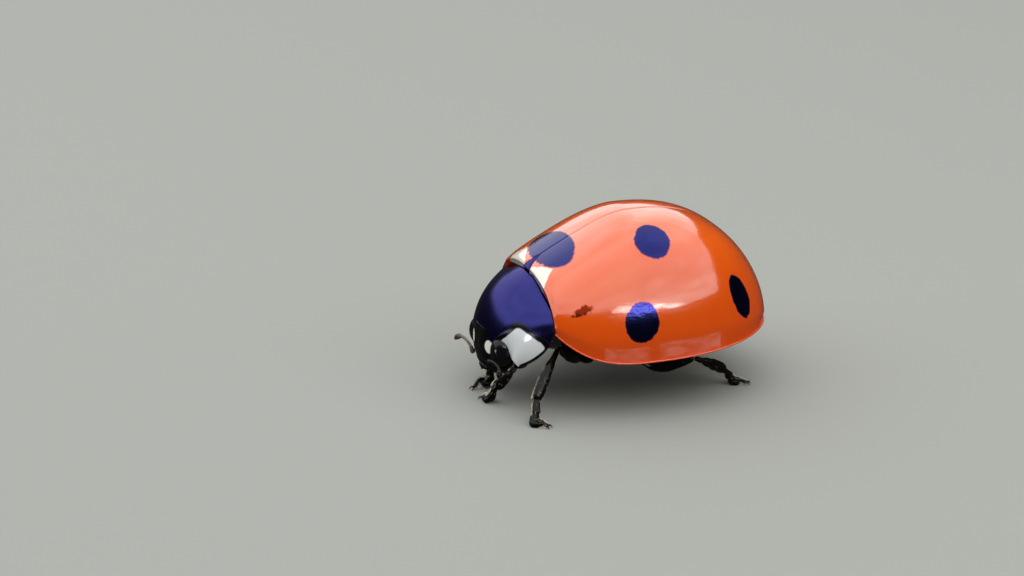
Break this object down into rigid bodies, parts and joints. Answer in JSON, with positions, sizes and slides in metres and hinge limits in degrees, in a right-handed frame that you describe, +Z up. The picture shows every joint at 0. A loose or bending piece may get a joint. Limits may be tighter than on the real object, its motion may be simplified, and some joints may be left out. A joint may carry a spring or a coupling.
{
  "type": "seven-spot ladybird, still life-size model",
  "caption": "Domed red beetle with black spots, standing on six short legs, head lowered and feelers out; a still animal with no moving joints.",
  "frame": {"origin": "on the floor under the middle of the bounding box", "axes": "+Z up; the head points to -Y and the animal's left side is +X"},
  "size_m": [0.0064, 0.0078, 0.0044],
  "materials": {
    "wing_case_red": "glossy orange-red shell with black spots",
    "black_plate": "glossy black shell with white patches",
    "black_shell": "satin black shell",
    "eye_black": "glossy black, finely faceted",
    "feeler_horn": "dark brown, satin"
  },
  "bodies": {
    "root": {"elytron_left": "wing_case_red", "eye_left": "eye_black", "mandible_left": "black_shell", "palp_left": "feeler_horn", "antenna_left": "feeler_horn", "elytron_right": "wing_case_red", "eye_right": "eye_black", "mandible_right": "black_shell", "palp_right": "feeler_horn", "antenna_right": "feeler_horn", "labrum": "black_shell", "scutellum": "black_plate", "coxa_front_left": "black_shell", "femur_front_left": "black_shell", "tibia_front_left": "black_shell", "tarsus_front_left": "black_shell", "coxa_front_right": "black_shell", "femur_front_right": "black_shell", "tibia_front_right": "black_shell", "tarsus_front_right": "black_shell", "coxa_middle_left": "black_shell", "femur_middle_left": "black_shell", "tibia_middle_left": "black_shell", "tarsus_middle_left": "black_shell", "coxa_middle_right": "black_shell", "femur_middle_right": "black_shell", "tibia_middle_right": "black_shell", "tarsus_middle_right": "black_shell", "coxa_hind_left": "black_shell", "femur_hind_left": "black_shell", "tibia_hind_left": "black_shell", "tarsus_hind_left": "black_shell", "coxa_hind_right": "black_shell", "femur_hind_right": "black_shell", "tibia_hind_right": "black_shell", "tarsus_hind_right": "black_shell", "pronotum": "black_plate", "head": "black_shell", "thorax": "black_shell", "abdomen": "black_shell"}
  },
  "joints": []
}
